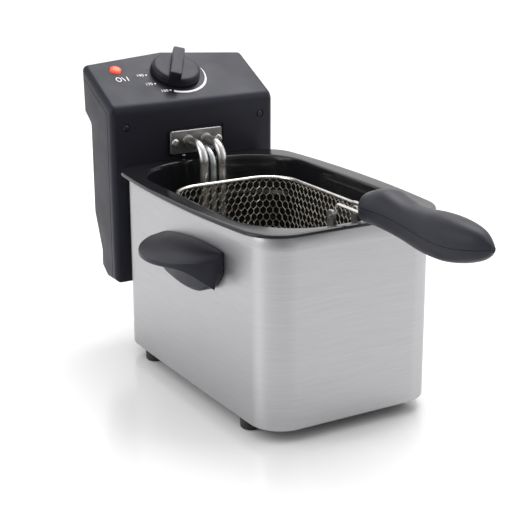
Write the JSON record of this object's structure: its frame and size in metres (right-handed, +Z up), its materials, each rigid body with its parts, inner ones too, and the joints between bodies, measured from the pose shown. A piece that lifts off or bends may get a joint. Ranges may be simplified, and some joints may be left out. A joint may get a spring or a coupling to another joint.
{
  "type": "deep fryer",
  "caption": "Box-shaped electric deep fryer with a lift-off control head and heater, a lift-out pot, and a wire basket whose handle folds up.",
  "frame": {"origin": "centre of the bounding box's underside, on the surface that the feet stand on", "axes": "+Y from the basket handle to the control head, +X to the right when facing the fryer from the basket handle's end, +Z up"},
  "size_m": [0.2356, 0.474, 0.253],
  "materials": {
    "casing_steel": "brushed, horizontal grain",
    "head_plastic": "satin charcoal",
    "handle_plastic": "satin dark grey",
    "pot_enamel": "gloss black enamel",
    "bright_steel": "polished",
    "heater_steel": "polished tube",
    "sensor_steel": "satin tube",
    "screw_steel": "plain",
    "rubber": "matte",
    "bakelite": "matte",
    "lens": "clear orange",
    "reset_red": "gloss"
  },
  "bodies": {
    "base": {"casing": "casing_steel", "base_plate": "head_plastic", "foot_front_left": "rubber", "foot_front_right": "rubber", "foot_rear_left": "rubber", "foot_rear_right": "rubber", "foot_screw_front_left": "screw_steel", "foot_screw_front_right": "screw_steel", "foot_screw_rear_left": "screw_steel", "foot_screw_rear_right": "screw_steel", "head_guide_bracket": "head_plastic", "bracket_rivet_lower_left": "screw_steel", "bracket_rivet_lower_right": "screw_steel", "bracket_rivet_upper_left": "screw_steel", "bracket_rivet_upper_right": "screw_steel", "side_handle_left": "handle_plastic", "side_handle_right": "handle_plastic", "side_handle_screw_left_front": "screw_steel", "side_handle_screw_left_rear": "screw_steel", "side_handle_screw_right_front": "screw_steel", "side_handle_screw_right_rear": "screw_steel"},
    "pot": {"inner_pot": "pot_enamel"},
    "head": {"head_front_shell": "head_plastic", "head_rear_cover": "head_plastic", "case_screw_left": "screw_steel", "case_screw_right": "screw_steel", "element_plate": "bright_steel", "heating_element": "heater_steel", "sensor_tube": "sensor_steel", "plate_screw_left": "screw_steel", "plate_screw_right": "screw_steel", "earth_screw": "screw_steel", "thermostat_body": "bakelite", "lamp_body": "bakelite", "indicator_lens": "lens", "safety_microswitch": "bakelite", "terminal_block": "bakelite", "thermal_cutout": "bakelite", "cord_gland": "rubber"},
    "knob": {"thermostat_knob": "handle_plastic", "thermostat_spindle": "bright_steel"},
    "reset": {"reset_button": "reset_red"},
    "basket": {"basket_body": "bright_steel", "basket_rim_wire": "bright_steel", "basket_bracket": "bright_steel"},
    "handle": {"handle_prong_left": "bright_steel", "handle_prong_right": "bright_steel", "handle_upper_shell": "handle_plastic", "handle_lower_shell": "handle_plastic", "handle_screw": "screw_steel"}
  },
  "joints": [
    {"name": "pot_lift", "type": "slide", "parent": "base", "child": "pot", "axis": [0, 0, 1], "range_m": [0, 0.15]},
    {"name": "head_lift", "type": "slide", "parent": "pot", "child": "head", "axis": [0, 0, 1], "range_m": [0, 0.15]},
    {"name": "basket_lift", "type": "slide", "parent": "head", "child": "basket", "axis": [0, 0, 1], "range_m": [0, 0.12]},
    {"name": "handle_fold", "type": "hinge", "parent": "basket", "child": "handle", "pos_m": [0, -0.06885, 0.165], "axis": [-1, 0, 0], "range_deg": [0, 110]},
    {"name": "knob_turn", "type": "hinge", "parent": "head", "child": "knob", "pos_m": [0, 0.20386, 0.23105], "axis": [0, -0.4617, 0.887], "range_deg": [-60, 150]},
    {"name": "reset_press", "type": "slide", "parent": "head", "child": "reset", "axis": [0, -1, 0], "range_m": [0, 0.0012], "stiffness_N_per_m": 400, "springref_m": -0.002}
  ]
}
